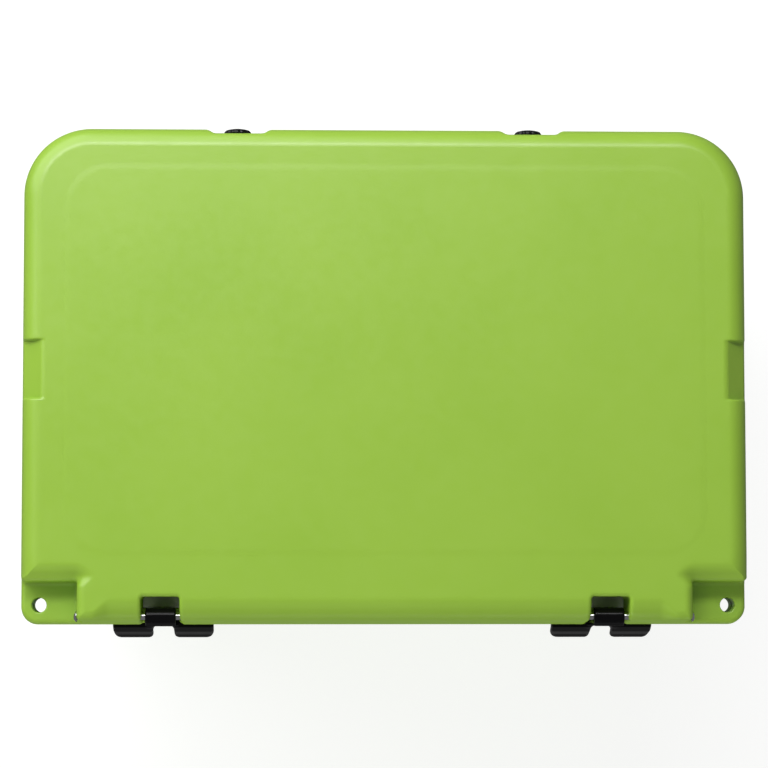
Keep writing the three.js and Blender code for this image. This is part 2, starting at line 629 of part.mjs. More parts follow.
// ---------------------------------------------------------------- materials
function finish(color, roughness, metalness = 0) {
  return new THREE.MeshStandardMaterial({ color, roughness, metalness });
}

const LIME = finish(0xa0c84e, 0.45);
const WHITE = finish(0xe9eae6, 0.5);
const FOAM = finish(0xe8dcb0, 0.9);
const RUBBER = finish(0x111112, 0.6);
const BLACK = finish(0x0c0c0d, 0.25);
const STEEL = finish(0xc4c6c8, 0.25, 1);

// ---------------------------------------------------------------- assembly
const chest = new THREE.Group();

function add(name, form, material, group = chest) {
  const { vertProperties, triVerts } = form.getMesh();
  const geometry = new THREE.BufferGeometry();
  geometry.setAttribute('position', new THREE.BufferAttribute(new Float32Array(vertProperties), 3));
  geometry.setIndex(new THREE.BufferAttribute(new Uint32Array(triVerts), 1));
  geometry.computeVertexNormals();
  const mesh = new THREE.Mesh(geometry, material);
  mesh.name = name;
  group.add(mesh);
}

const sideName = (s) => (s < 0 ? 'left' : 'right');

function addBody() {
  add('body_shell', bodyShell(), LIME);
  add('body_foam', bodyFoam(), FOAM);
  add('body_liner', bodyLiner(), WHITE);
  add('base_foam_plug', foamPlug(0, TUB.bottom, WALL), BLACK);
  for (const [x, y] of FEET) {
    const place = `${y < 0 ? 'front' : 'rear'}_${sideName(x)}`;
    add(`foot_${place}`, foot(x, y), RUBBER);
    add(`foot_screw_${place}`, footScrew(x, y), STEEL);
  }
  for (const [s, z] of KNOB_PLACES) {
    const place = `${z === KNOB.upperZ ? 'upper' : 'lower'}_${sideName(s)}`;
    add(`net_knob_${place}`, netKnob(s, z), BLACK);
    add(`net_knob_screw_${place}`, netKnobScrew(s, z), STEEL);
  }
  add('drain_fitting', drainFitting(), BLACK);
  add('drain_lock_nut', drainLockNut(), BLACK);
  add('drain_gasket', drainGasket(), RUBBER);
  for (const s of SIDES) {
    add(`handle_bush_front_${sideName(s)}`, handleBush(s, -1), BLACK);
    add(`handle_bush_rear_${sideName(s)}`, handleBush(s, 1), BLACK);
  }
}

function addLid() {
  add('lid_shell', lidShell(), LIME);
  add('lid_foam', lidFoam(), FOAM);
  add('lid_liner', lidLiner(), WHITE);
  add('lid_gasket', lidGasket(), RUBBER);
  add('hinge_rod', hingeRod(), STEEL);
  for (const s of SIDES) {
    add(`lid_foam_plug_${sideName(s)}`, foamPlug(s * FOAM_PORT.lidX, TRAY.bottom, LINER_WALL), WHITE);
    add(`hinge_rod_plug_${sideName(s)}`, hingeRodPlug(s), BLACK);
    add(`latch_pin_${sideName(s)}`, latchPin(s), STEEL);
  }
}

function addMovingPieces() {
  for (const s of SIDES) {
    add(`latch_${sideName(s)}`, latch(s), RUBBER);
    add(`handle_bail_${sideName(s)}`, rod(bailPoints(s), HANDLE.rodR), STEEL);
    add(`handle_grip_${sideName(s)}`, handleGrip(s), RUBBER);
  }
  add('drain_plug', drainPlug(), BLACK);
  add('drain_plug_seal', drainPlugSeal(), RUBBER);
}

addBody();
addLid();
addMovingPieces();

export default chest;
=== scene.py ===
import itertools
import math

import bpy
import numpy as np
from mathutils import Matrix, Vector


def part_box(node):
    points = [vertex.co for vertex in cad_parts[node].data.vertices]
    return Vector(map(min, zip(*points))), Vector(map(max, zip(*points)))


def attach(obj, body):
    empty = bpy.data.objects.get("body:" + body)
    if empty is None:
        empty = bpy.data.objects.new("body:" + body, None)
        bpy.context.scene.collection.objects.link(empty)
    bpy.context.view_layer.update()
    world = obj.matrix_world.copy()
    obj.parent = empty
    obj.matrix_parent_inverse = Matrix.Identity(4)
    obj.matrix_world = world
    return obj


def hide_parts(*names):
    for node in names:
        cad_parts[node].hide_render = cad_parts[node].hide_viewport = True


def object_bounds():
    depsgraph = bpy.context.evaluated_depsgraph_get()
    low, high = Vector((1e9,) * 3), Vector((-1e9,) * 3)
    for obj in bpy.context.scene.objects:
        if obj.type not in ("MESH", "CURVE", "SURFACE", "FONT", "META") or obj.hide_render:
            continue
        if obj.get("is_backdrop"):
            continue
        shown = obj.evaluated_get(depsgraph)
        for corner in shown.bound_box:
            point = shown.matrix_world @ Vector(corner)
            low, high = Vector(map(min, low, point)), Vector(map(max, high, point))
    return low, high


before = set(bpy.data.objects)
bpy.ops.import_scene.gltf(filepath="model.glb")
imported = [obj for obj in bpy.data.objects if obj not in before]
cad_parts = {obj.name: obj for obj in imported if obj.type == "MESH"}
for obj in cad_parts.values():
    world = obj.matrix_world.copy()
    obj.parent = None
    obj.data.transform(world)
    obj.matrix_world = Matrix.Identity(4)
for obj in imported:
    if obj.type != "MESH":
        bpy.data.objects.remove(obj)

BOX_AT_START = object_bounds()

# ---------------------------------------------------------------- camera
# It looks down on the lid through a long lens, leaning a few degrees. This part is in metres.
CAMERA_AT = (-0.0918, -0.2060, 3.0818)
CAMERA_TURNS = {"X": 4.311, "Y": -1.955, "Z": 0.119}
CAMERA_LENS = 140.17

camera_data = bpy.data.cameras.new("camera")
camera_data.sensor_width = 36
camera_data.lens = CAMERA_LENS
camera_data.clip_end = 100
camera = bpy.data.objects.new("camera", camera_data)
bpy.context.scene.collection.objects.link(camera)
bpy.context.scene.camera = camera
turn = Matrix.Identity(4)
for axis, degrees in CAMERA_TURNS.items():
    turn = turn @ Matrix.Rotation(math.radians(degrees), 4, axis)
camera.matrix_world = Matrix.Translation(CAMERA_AT) @ turn

# ---------------------------------------------------------------- sizes
# The chest stands on the floor with its latches towards -Y. Lengths are in millimetres up to build(), which
# makes metres of them. Every form below is a field: a function of x, y and z that is negative inside the
# form, positive outside it and about the distance to its surface.

WALL = 4.5
LINER_WALL = 3.5
GAP = 0.4  # between pieces that lie on each other
PLAY = 0.3  # round a pin, a rod or a tube in its bore

LID_HALF_X, LID_FRONT, LID_REAR = 324, -219.6, 223.9
LID_BOTTOM, LID_TOP = 392, 450.4
LID_CORNER_FRONT, LID_CORNER_REAR = 15, 60
LID_EDGE, LID_FRONT_EDGE, EAR_WALL_EDGE = 16, 20, 8
LID_SLOPE = 3 / 42.4  # how far the lid's sides lean in for each millimetre of height
PANEL_HALF_X, PANEL_FRONT, PANEL_REAR, PANEL_CORNER = 285, -160, 189, 40
PANEL_RISE, PANEL_BORDER = 0.15, 7
EAR_INNER_X, EAR_REAR_Y, EAR_TOP = 271.5, -181, 412
LOCK_HOLE_X, LOCK_HOLE_Y, LOCK_HOLE_R = 306.8, -202.2, 6.5
NOTCH_X, NOTCH_HALF, NOTCH_REAR_Y = 198.4, 17, -194.7
STRAP_Y, STRAP_HALF, STRAP_INNER_X, STRAP_LOW_Z = 5.3, 25.8, 302.5, 433
HINGE_Y, HINGE_Z, HINGE_ROD_R = 209, 407, 4
HEEL_R, KNUCKLE_R, KNUCKLE_HALF = 14.9, 11.5, 19
POCKET_R, POCKET_HALF = KNUCKLE_R + 1.2, KNUCKLE_HALF + 3.5
KNOB_NOTCH_X, KNOB_NOTCH_HALF, KNOB_NOTCH_Y = 130.5, 22.6, 216.5
ROD_PLUG_R, ROD_PLUG_INNER, ROD_PLUG_OUTER = 6, 278, 294
TRAY_HALF_X, TRAY_FRONT, TRAY_REAR, TRAY_CORNER = 228, -136, 138, 36
TRAY_BOTTOM, TRAY_TOP, TRAY_TAPER = 378, 398, 3
LID_PLATE_BOTTOM = LID_BOTTOM + 0.2
GASKET_HALF_X, GASKET_FRONT, GASKET_REAR, GASKET_CORNER = 260, -168, 170, 50
GASKET_WIDTH, GASKET_DEPTH = 10, 3.2

PIN_Y, PIN_Z, PIN_R, PIN_HEAD_R, PIN_INNER = -212.1, 430, 3.2, 5.3, 156
LATCH_EYE_R, STEM_HALF = 7.5, 13.5
LATCH_FRONT, LATCH_BACK, LATCH_LOW = -220.5, -211.5, 352
LOBE_TIP, LOBE_INNER, LOBE_OUTER = -232, 9.5, 45.3

RIM_BOTTOM, RIM_TOP = 372, 390
RIM_HALF_X, RIM_FRONT, RIM_REAR = 322.5, -218, 221.5
RIM_CORNER_FRONT, RIM_CORNER_REAR = 14, 58
TUB_BOTTOM, TUB_BASE_EDGE, TUB_CORNER = 8, 14, 70
TUB_HALF_X, TUB_FRONT, TUB_REAR = 298, -196, 199.5  # at its bottom
TUB_FLARE_X, TUB_FLARE_Y = 16, 13.5  # how far the walls lean out from there to the rim
HINGE_PAD_BOTTOM, HINGE_PAD_TOP = 346, 388
SLOT_HALF, SLOT_REAR_Y = 15.5, -209.9
HANDLE_Y, RECESS_X, RECESS_HALF = 4, 282, 95
RECESS_BOTTOM, RECESS_TOP, RECESS_CORNER = 222, 366, 20
PIVOT_X, PIVOT_Z, BAIL_DROP, BAIL_BEND, BAIL_R = 298, 335, 88, 12, 4.5
BAIL_ARM, BAIL_END = RECESS_HALF - 16, RECESS_HALF + 10  # from the handle's middle
GRIP_R, GRIP_HALF, GRIP_RIB_PITCH, GRIP_RIB_HALF_DEPTH = 12, 60, 6, 0.45
BUSH_R, BUSH_FLANGE_R, BUSH_LENGTH = 7, 10, 13
DRAIN_Y, DRAIN_Z, DRAIN_POCKET_R, DRAIN_POCKET_X = 4, 84, 30, 280
DRAIN_TUBE_R, DRAIN_BORE_R, DRAIN_FLANGE_R, DRAIN_SEAL_R = 12, 10, 15, 14
NUT_CORNER_R, NUT_CHAMFER_R = 22, 21.6
PLUG_R, PLUG_DISH_R, SHANK_R, THREAD_PITCH, THREAD_HALF_DEPTH = 19, 11, 9.5, 3, 0.35
NUT_X = DRAIN_POCKET_X + 2.2
PLUG_X = NUT_X + 6
CAVITY_FLOOR, CAVITY_EDGE, CAVITY_CORNER = 78, 12, 38
CAVITY_HALF_X, CAVITY_FRONT, CAVITY_REAR, CAVITY_FLARE = 222, -130, 132, 13
LEDGE_DEPTH = 4
SUMP_END_X, SUMP_LENGTH, SUMP_HALF, SUMP_CORNER = 223, 38, 24, 8
SUMP_FLOOR, SUMP_TOP, SUMP_EDGE = 66, 104, 6
KNOB_X, KNOB_UPPER_Z, KNOB_LOWER_Z = 132.6, 376, 120
KNOB_R, KNOB_NECK_R, KNOB_LENGTH, KNOB_HEAD, KNOB_CROWN = 12.4, 7, 9.2, 5.5, 2.2
KNOB_FLUTES, KNOB_FLUTE_HALF_DEPTH, KNOB_BORE_R = 16, 0.45, 4.4
LOWER_PAD_R, LOWER_PAD_DEPTH = 16, 9
FOOT_X, FOOT_FRONT, FOOT_REAR, FOOT_R, FOOT_HEIGHT = 238, -150, 154, 24, 7.7
FOOT_TAPER, FOOT_GROOVE_PITCH, FOOT_BORE_R = 3, 5, 6.5
FOOT_SIDE_COSINE = 0.93  # of the side's lean off the vertical
FOAM_PORT_R, FOAM_PORT_Y, FOAM_PORT_LID_X = 20, 2, 150

SIDES = {"left": -1, "right": 1}


# ---------------------------------------------------------------- fields
def both(a, b, r=0.0):
    """What lies in a and in b, with a round edge of radius r where they meet."""
    over_a, over_b = np.maximum(a + r, 0), np.maximum(b + r, 0)
    return np.minimum(np.maximum(a, b), -r) + np.hypot(over_a, over_b)


def either(a, b, r=0.0):
    """What lies in a or in b, with a hollow fillet of radius r where they meet."""
    return -both(-a, -b, r)


def cut(a, b, r=0.0):
    """a without b, with a round edge of radius r."""
    return both(a, -b, r)


def strip(u, centre, half):
    return np.abs(u - centre) - half


def span(u, low, high):
    return strip(u, (low + high) / 2, (high - low) / 2)


def disc(u, v, at_u, at_v, r):
    return np.hypot(u - at_u, v - at_v) - r


def ramp(value, low, high):
    """0 below low, 1 above high and smooth between them."""
    t = np.clip((value - low) / (high - low), 0, 1)
    return t * t * (3 - 2 * t)


def plan(x, y, half_x, front, rear, corner_front, corner_rear):
    """A rectangle with round corners, which differ at the front and the rear."""
    middle = (front + rear) / 2
    corner = np.where(y < middle, corner_front, corner_rear)
    along_x = np.abs(x) - half_x + corner
    along_y = np.abs(y - middle) - (rear - front) / 2 + corner
    outside = np.hypot(np.maximum(along_x, 0), np.maximum(along_y, 0))
    return np.minimum(np.maximum(along_x, along_y), 0) + outside - corner


def polygon(u, v, corners):
    """A polygon, its corners in order."""
    nearest = np.full(np.broadcast(u, v).shape, np.inf)
    inside = np.zeros(nearest.shape, bool)
    for (u0, v0), (u1, v1) in zip(corners, corners[1:] + corners[:1]):
        du, dv = u1 - u0, v1 - v0
        t = np.clip(((u - u0) * du + (v - v0) * dv) / (du * du + dv * dv), 0, 1)
        nearest = np.minimum(nearest, np.hypot(u - u0 - t * du, v - v0 - t * dv))
        if dv:
            crosses = (v0 <= v) != (v1 <= v)
            inside ^= crosses & (u < u0 + du * (v - v0) / dv)
    return np.where(inside, -nearest, nearest)


# ---------------------------------------------------------------- lid
def lid_outside(x, y, z):
    """The lid as if it were solid and had no underside."""
    ax = np.abs(x)
    drawn = LID_SLOPE * (z - LID_BOTTOM)
    wall = plan(
        x, y, LID_HALF_X - drawn, LID_FRONT + drawn, LID_REAR - drawn, LID_CORNER_FRONT, LID_CORNER_REAR)
    ear = both(both(EAR_INNER_X - ax, y - EAR_REAR_Y, 3), EAR_TOP - z, 5)
    edge = LID_EDGE + (LID_FRONT_EDGE - LID_EDGE) * ramp(-y, 150, 200)
    by_ear_wall = ramp(ax, EAR_INNER_X - 30, EAR_INNER_X - 12) * ramp(-y, -EAR_REAR_Y - 6, -EAR_REAR_Y + 6)
    edge = edge + (EAR_WALL_EDGE - edge) * by_ear_wall
    panel = plan(x, y, PANEL_HALF_X, PANEL_FRONT, PANEL_REAR, PANEL_CORNER, PANEL_CORNER)
    top = z - LID_TOP - PANEL_RISE * ramp(-panel, 0, PANEL_BORDER)
    form = both(cut(wall, ear, 4), top, edge)

    fall, run = LID_TOP - STRAP_LOW_Z, LID_HALF_X - 3 - STRAP_INNER_X
    off_flat = ((ax - STRAP_INNER_X) * fall + (z - LID_TOP) * run) / math.hypot(fall, run)
    form = cut(form, both(strip(y, STRAP_Y, STRAP_HALF), -off_flat, 1), 2)
    notch = both(strip(ax, NOTCH_X, NOTCH_HALF), y - NOTCH_REAR_Y, 3)
    form = cut(form, notch, 3.5)

    past = y - KNOB_NOTCH_Y
    knob_notch = both((strip(ax, KNOB_NOTCH_X, KNOB_NOTCH_HALF) - past) * math.sqrt(0.5), -past, 1.5)
    form = cut(form, knob_notch, 2)

    from_hinge = np.hypot(y - HINGE_Y, z - HINGE_Z)
    pocket = np.minimum(from_hinge - POCKET_R, np.maximum(z - HINGE_Z, HINGE_Y - POCKET_R - y))
    form = cut(form, both(strip(ax, KNOB_NOTCH_X, POCKET_HALF), pocket, 1), 1.5)
    heel = np.maximum(np.maximum(HINGE_Y - y, z - HINGE_Z), HEEL_R - from_hinge)
    form = np.maximum(form, -heel)
    return cut(form, disc(ax, y, LOCK_HOLE_X, LOCK_HOLE_Y, LOCK_HOLE_R), 1.2)


def lid_shell(x, y, z):
    ax = np.abs(x)
    outside = lid_outside(x, y, z)
    form = cut(both(outside, LID_BOTTOM - z, 3), outside + WALL)
    by_walls = np.minimum(strip(ax, NOTCH_X, NOTCH_HALF + 4), span(ax, EAR_INNER_X - 4, EAR_INNER_X + 6))
    pin_bore = both(disc(y, z, PIN_Y, PIN_Z, PIN_R + PLAY), by_walls)
    rod_bore = both(disc(y, z, HINGE_Y, HINGE_Z, HINGE_ROD_R + PLAY), ax - 320)
    plug_bore = both(disc(y, z, HINGE_Y, HINGE_Z, ROD_PLUG_R + PLAY), span(ax, ROD_PLUG_INNER - 1, 340))
    return cut(form, np.minimum(np.minimum(pin_bore, rod_bore), plug_bore))


def tray(x, y, z):
    """The tray under the lid, as if it were solid and had no top."""
    drawn = TRAY_TAPER * (TRAY_TOP - z) / (TRAY_TOP - TRAY_BOTTOM)
    wall = plan(
        x, y, TRAY_HALF_X - drawn, TRAY_FRONT + drawn, TRAY_REAR - drawn, TRAY_CORNER, TRAY_CORNER)
    return both(wall, TRAY_BOTTOM - z, 5)


def gasket_path(x, y):
    """The outline of the gasket's outer edge."""
    return plan(x, y, GASKET_HALF_X, GASKET_FRONT, GASKET_REAR, GASKET_CORNER, GASKET_CORNER)


def lid_liner(x, y, z):
    plate = both(lid_outside(x, y, z) + WALL + GAP, span(z, LID_PLATE_BOTTOM, TRAY_TOP))
    plate = both(plate, y - (HINGE_Y - HEEL_R))
    form = either(plate, both(tray(x, y, z), z - TRAY_TOP + 4), 4)
    form = cut(form, tray(x, y, z) + LINER_WALL)
    groove = both(
        strip(gasket_path(x, y), -GASKET_WIDTH / 2, GASKET_WIDTH / 2 + PLAY),
        z - LID_PLATE_BOTTOM - GASKET_DEPTH)
    ports = disc(np.abs(x), y, FOAM_PORT_LID_X, FOAM_PORT_Y, FOAM_PORT_R + GAP)
    return cut(cut(form, groove, 0.8), ports, 0.8)


def lid_gasket(x, y, z):
    section = strip(gasket_path(x, y), -GASKET_WIDTH / 2, GASKET_WIDTH / 2)
    ring = both(section, span(z, RIM_TOP + PLAY, LID_PLATE_BOTTOM + GASKET_DEPTH - PLAY), 1.8)
    valley = disc(gasket_path(x, y), z, -GASKET_WIDTH / 2, RIM_TOP - 0.6, 2.2)
    return cut(ring, valley, 0.5)


# ---------------------------------------------------------------- latches and their pins
def latch(s):
    """A stem with an eye for the pin at its top and two lobes, one each side, that the fingers pull."""
    def field(x, y, z):
        across = np.abs(x - s * NOTCH_X)
        eye = disc(y, z, PIN_Y, PIN_Z, LATCH_EYE_R)
        stem_section = both(span(y, LATCH_FRONT, LATCH_BACK), span(z, LATCH_LOW, PIN_Z), 1)
        stem = both(either(eye, stem_section, 3), across - STEM_HALF, 1.5)
        section = polygon(y, z, [
            (LATCH_BACK + 0.5, 370), (-221.5, 370), (-225.5, 362), (-228, 352), (LOBE_TIP + 1, 346),
            (-229.5, 343.8), (-226, 347), (-222, 355), (-217.5, 359.5), (LATCH_BACK + 0.5, 361)]) - 0.8
        seen_from_above = plan(
            y + 200, across - (LOBE_INNER + LOBE_OUTER) / 2, -200 - LOBE_TIP,
            (LOBE_INNER - LOBE_OUTER) / 2, (LOBE_OUTER - LOBE_INNER) / 2, 5, 7.5)
        lobes = both(section, seen_from_above, 2)
        form = either(stem, lobes, 4)
        return cut(form, disc(y, z, PIN_Y, PIN_Z, PIN_R + PLAY), 0.4)
    return field


def latch_pin(s):
    """A rod through the latch and the wall beside it, with a domed head beside the ear."""
    def field(x, y, z):
        along = s * x
        from_axis = np.hypot(y - PIN_Y, z - PIN_Z)
        rod = both(from_axis - PIN_R, span(along, PIN_INNER, EAR_INNER_X + 1), 0.5)
        base = EAR_INNER_X + PLAY
        dome = both(np.hypot(from_axis, along - base + 2.5) - 6, base - along, 0.3)
        return np.minimum(rod, both(dome, from_axis - PIN_HEAD_R, 0.5))
    return field


def hinge_rod_plug(s):
    def field(x, y, z):
        from_axis = np.hypot(y - HINGE_Y, z - HINGE_Z)
        return both(from_axis - ROD_PLUG_R, span(s * x, ROD_PLUG_INNER, ROD_PLUG_OUTER), 1)
    return field


# ---------------------------------------------------------------- body
def tub(x, y, z):
    """The body's outside below its rim, as if it were solid and had no top."""
    ax = np.abs(x)
    t = np.clip((z - TUB_BOTTOM) / (RIM_BOTTOM - TUB_BOTTOM), 0, 1)
    wall = plan(
        x, y, TUB_HALF_X + TUB_FLARE_X * t, TUB_FRONT - TUB_FLARE_Y * t, TUB_REAR + TUB_FLARE_Y * t,
        TUB_CORNER, TUB_CORNER)
    form = both(wall, TUB_BOTTOM - z, TUB_BASE_EDGE)
    opening = plan(
        y - HANDLE_Y, z, RECESS_HALF, RECESS_BOTTOM, RECESS_TOP, RECESS_CORNER, RECESS_CORNER)
    form = cut(form, both(opening, RECESS_X - ax, 6), 4)
    pocket = both(disc(y, z, DRAIN_Y, DRAIN_Z, DRAIN_POCKET_R), DRAIN_POCKET_X - x, 4)
    return cut(form, pocket, 4)


def rear_wall_y(z):
    return TUB_REAR + TUB_FLARE_Y * (z - TUB_BOTTOM) / (RIM_BOTTOM - TUB_BOTTOM)


LOWER_PAD_Y = rear_wall_y(KNOB_LOWER_Z) + 4


def bushes(x, y, z, r, length):
    """The sockets for the handle bushes in the front and rear walls of both recesses."""
    from_face = np.abs(y - HANDLE_Y) - RECESS_HALF
    return both(disc(np.abs(x), z, PIVOT_X, PIVOT_Z, r), span(from_face, -1, length))


def body_shell(x, y, z):
    ax = np.abs(x)
    inside = tub(x, y, z) + WALL
    rim = plan(x, y, RIM_HALF_X, RIM_FRONT, RIM_REAR, RIM_CORNER_FRONT, RIM_CORNER_REAR)
    rim = both(rim, span(z, RIM_BOTTOM, RIM_TOP), 3)
    walls = both(tub(x, y, z), z - RIM_TOP + 3)
    across = strip(ax, KNOB_NOTCH_X, KNUCKLE_HALF)
    knuckle = both(across, disc(y, z, HINGE_Y, HINGE_Z, KNUCKLE_R), 1.5)
    web = np.maximum(np.maximum(across, strip(y, HINGE_Y, 6)), span(z, RIM_TOP - 6, HINGE_Z))
    pad = both(across, span(z, HINGE_PAD_BOTTOM, HINGE_PAD_TOP), 3)
    pad = both(pad, span(y, HINGE_Y - 5, RIM_REAR), 3)
    form = np.minimum(either(walls, rim, 2.5), either(walls, pad, 3))
    form = either(form, np.minimum(knuckle, web), 2)

    to_wall = np.clip(LOWER_PAD_Y - y, 0, LOWER_PAD_DEPTH)
    lower_pad = disc(ax, z, KNOB_X, KNOB_LOWER_Z, LOWER_PAD_R + to_wall * 4 / LOWER_PAD_DEPTH)
    form = either(form, both(lower_pad, span(y, LOWER_PAD_Y - LOWER_PAD_DEPTH, LOWER_PAD_Y), 2), 3)
    form = cut(form, inside)

    slot = both(strip(ax, NOTCH_X, SLOT_HALF), y - SLOT_REAR_Y, 2)
    form = cut(form, both(slot, span(z, 350, 410), 1), 2)
    form = cut(form, both(disc(ax, y, LOCK_HOLE_X, LOCK_HOLE_Y, LOCK_HOLE_R), 360 - z), 1.2)
    form = cut(form, both(disc(y, z, HINGE_Y, HINGE_Z, HINGE_ROD_R + PLAY), strip(ax, KNOB_NOTCH_X, 30)))
    form = cut(form, bushes(x, y, z, BUSH_R + PLAY, WALL + 1))
    form = cut(form, both(disc(y, z, DRAIN_Y, DRAIN_Z, DRAIN_TUBE_R + GAP), 200 - x))
    return cut(form, both(disc(x, y, 0, FOAM_PORT_Y, FOAM_PORT_R + GAP), z - 30), 1)


def cavity(x, y, z):
    """The space for the load, as if it had no top."""
    t = (z - CAVITY_FLOOR) / (RIM_TOP - CAVITY_FLOOR)
    flare = CAVITY_FLARE * t
    main = plan(
        x, y, CAVITY_HALF_X + flare, CAVITY_FRONT - flare, CAVITY_REAR + flare, CAVITY_CORNER, CAVITY_CORNER)
    main = both(main, CAVITY_FLOOR - z, CAVITY_EDGE)
    sump = plan(
        y - DRAIN_Y, x, SUMP_HALF, SUMP_END_X - SUMP_LENGTH, SUMP_END_X, SUMP_CORNER, SUMP_CORNER)
    sump = both(both(sump, SUMP_FLOOR - z, SUMP_EDGE), z - SUMP_TOP, SUMP_EDGE)
    return either(main, sump, 4)


def body_liner(x, y, z):
    space = cavity(x, y, z)
    ledge = plan(
        x, y, TUB_HALF_X + TUB_FLARE_X - WALL - GAP, TUB_FRONT - TUB_FLARE_Y + WALL + GAP,
        TUB_REAR + TUB_FLARE_Y - WALL - GAP, TUB_CORNER - WALL, TUB_CORNER - WALL)
    form = np.minimum(space - LINER_WALL, both(ledge, RIM_TOP - LEDGE_DEPTH - z))
    form = cut(both(form, z - RIM_TOP), space, 3)
    return cut(form, both(disc(y, z, DRAIN_Y, DRAIN_Z, DRAIN_TUBE_R + GAP), 200 - x), 0.6)


# ---------------------------------------------------------------- handles
def bend(v, z, side):
    """How far a point is from the quarter circle of one of the bail's bends, with v and z measured from its
    centre. The quarter is on the given side in v and on the other side in z."""
    return np.where((side * v > 0) & (side * z < 0), np.abs(np.hypot(v, z) - BAIL_BEND), np.inf)


def bail(s):
    """A rod bent into a loop, its ends in the bushes."""
    low = PIVOT_Z - BAIL_DROP

    def field(x, y, z):
        v = np.abs(y - HANDLE_Y)
        line = np.minimum.reduce([
            np.hypot(np.maximum(v - BAIL_ARM + BAIL_BEND, 0), z - low),
            np.hypot(v - BAIL_ARM, np.maximum(span(z, low + BAIL_BEND, PIVOT_Z - BAIL_BEND), 0)),
            np.hypot(np.maximum(span(v, BAIL_ARM + BAIL_BEND, BAIL_END), 0), z - PIVOT_Z),
            bend(v - BAIL_ARM + BAIL_BEND, z - low - BAIL_BEND, 1),
            bend(v - BAIL_ARM - BAIL_BEND, z - PIVOT_Z + BAIL_BEND, -1),
        ])
        return both(np.hypot(line, x - s * PIVOT_X) - BAIL_R, v - BAIL_END, 0.8)
    return field


def grip(s):
    """A ribbed sleeve on the bail."""
    def field(x, y, z):
        from_axis = np.hypot(x - s * PIVOT_X, z - PIVOT_Z + BAIL_DROP)
        along = y - HANDLE_Y
        ribbed = ramp(GRIP_HALF - np.abs(along), 8, 12)
        ribs = GRIP_RIB_HALF_DEPTH * (1 - np.cos(2 * math.pi * along / GRIP_RIB_PITCH)) * ribbed
        form = both(from_axis - GRIP_R + ribs, np.abs(along) - GRIP_HALF, 2.5)
        return cut(form, from_axis - BAIL_R - PLAY, 0.8)
    return field


def handle_bush(s, end):
    def field(x, y, z):
        from_axis = np.hypot(x - s * PIVOT_X, z - PIVOT_Z)
        along = end * (y - HANDLE_Y) - RECESS_HALF
        flange = both(from_axis - BUSH_FLANGE_R, span(along, -2.4, -PLAY), 0.8)
        form = np.minimum(flange, both(from_axis - BUSH_R, span(along, -1, BUSH_LENGTH), 0.5))
        return cut(form, from_axis - BAIL_R - PLAY, 0.4)
    return field


# ---------------------------------------------------------------- drain
def from_drain(y, z):
    return np.hypot(y - DRAIN_Y, z - DRAIN_Z)


def drain_fitting(x, y, z):
    flange = both(from_drain(y, z) - DRAIN_FLANGE_R, span(x, SUMP_END_X - 3, SUMP_END_X - PLAY), 0.8)
    tube = both(from_drain(y, z) - DRAIN_TUBE_R, span(x, SUMP_END_X - 1, PLUG_X), 0.6)
    return cut(np.minimum(flange, tube), from_drain(y, z) - DRAIN_BORE_R, 0.6)


def drain_lock_nut(x, y, z):
    angle = np.arctan2(z - DRAIN_Z, y - DRAIN_Y)
    from_flat = np.abs((angle + math.pi / 6) % (math.pi / 3) - math.pi / 6)
    flats = from_drain(y, z) * np.cos(from_flat) - NUT_CORNER_R * math.cos(math.pi / 6)
    form = both(both(flats, from_drain(y, z) - NUT_CHAMFER_R, 0.8), span(x, NUT_X, PLUG_X - 0.5), 0.9)
    return cut(form, from_drain(y, z) - DRAIN_TUBE_R - PLAY, 0.5)


def drain_plug_seal(x, y, z):
    form = both(from_drain(y, z) - DRAIN_SEAL_R, span(x, PLUG_X + PLAY, PLUG_X + 2.3), 0.9)
    return cut(form, from_drain(y, z) - SHANK_R - PLAY, 0.5)


def drain_plug(x, y, z):
    """A lobed head with a dished face, on a threaded shank."""
    angle = np.arctan2(z - DRAIN_Z, y - DRAIN_Y)
    sixth = (angle + math.pi / 6) % (math.pi / 3) - math.pi / 6
    u, v = from_drain(y, z) * np.cos(sixth), from_drain(y, z) * np.sin(sixth)
    head = both(from_drain(y, z) - PLUG_R, span(x, PLUG_X + 2.6, PLUG_X + 13), 2)
    head = cut(head, both(disc(u, v, PLUG_R + 2.5, 0, 5), PLUG_X + 4 - x, 1), 1.5)
    dish = both(from_drain(y, z) - PLUG_DISH_R, PLUG_X + 11.4 - x, 1)
    head = cut(head, dish, 0.8)
    wave = np.cos(2 * math.pi * x / THREAD_PITCH - angle - math.pi / 2)
    thread = THREAD_HALF_DEPTH * wave * ramp(PLUG_X - x, 0, 3)
    core = from_drain(y, z) - SHANK_R + THREAD_HALF_DEPTH
    shank = both(core - thread, span(x, PLUG_X - 30, PLUG_X + 3), 1)
    return either(head, shank, 0.5)


# ---------------------------------------------------------------- knobs, feet and screws
def net_knob(s, centre_z, face_y):
    """A neck and a head with a fluted rim, for the net's loops."""
    tip = face_y + KNOB_LENGTH

    def field(x, y, z):
        from_axis = np.hypot(x - s * KNOB_X, z - centre_z)
        neck = both(from_axis - KNOB_NECK_R, span(y, face_y + PLAY, tip - 4), 0.4)
        around = np.arctan2(x - s * KNOB_X, z - centre_z)
        flutes = KNOB_FLUTE_HALF_DEPTH * (1 - np.cos(KNOB_FLUTES * around)) * ramp(from_axis, 6, KNOB_R)
        crown = tip - KNOB_CROWN * (from_axis / KNOB_R)**2
        head = both(from_axis - KNOB_R + flutes, y - crown, 2)
        form = either(neck, both(head, tip - KNOB_HEAD - y, 0.8), 1)
        return cut(form, both(from_axis - KNOB_BORE_R, tip - 3 - y), 0.6)
    return field


